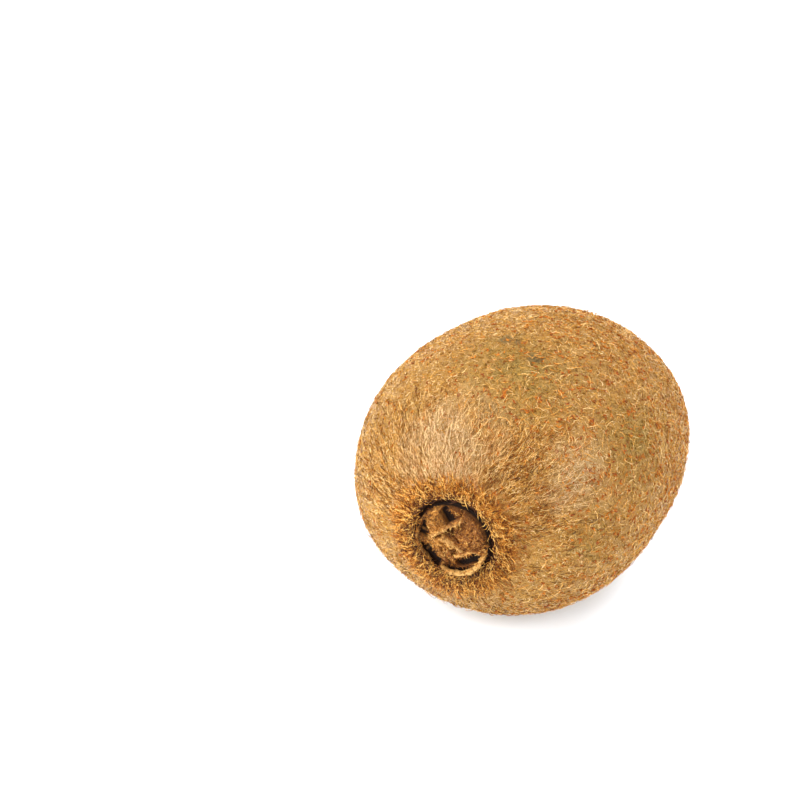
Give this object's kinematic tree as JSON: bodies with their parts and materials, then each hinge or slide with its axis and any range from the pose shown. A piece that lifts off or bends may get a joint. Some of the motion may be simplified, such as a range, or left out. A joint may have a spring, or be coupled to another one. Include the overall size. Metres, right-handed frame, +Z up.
{
  "type": "kiwi fruit",
  "caption": "Whole kiwi fruit lying on its side: a tapered oval with brown hairy skin, a dried calyx sunk in a round groove at one end and withered styles at the other.",
  "frame": {"origin": "the middle of the bounding box's bottom face, on the surface that the fruit lies on", "axes": "+Z up; the fruit's length runs along Y, with the stem end and its calyx at -Y and the blossom end at +Y"},
  "size_m": [0.0568, 0.0662, 0.0499],
  "materials": {
    "skin": "thin leathery golden-brown skin under short curly hairs, olive in patches and rusty towards both ends",
    "dried_sepal": "dry, woody and felted, rusty brown with paler golden edges",
    "withered_style": "dry and withered, dark brown"
  },
  "bodies": {
    "root": {"berry": "skin", "calyx": "dried_sepal", "styles": "withered_style"}
  },
  "joints": []
}
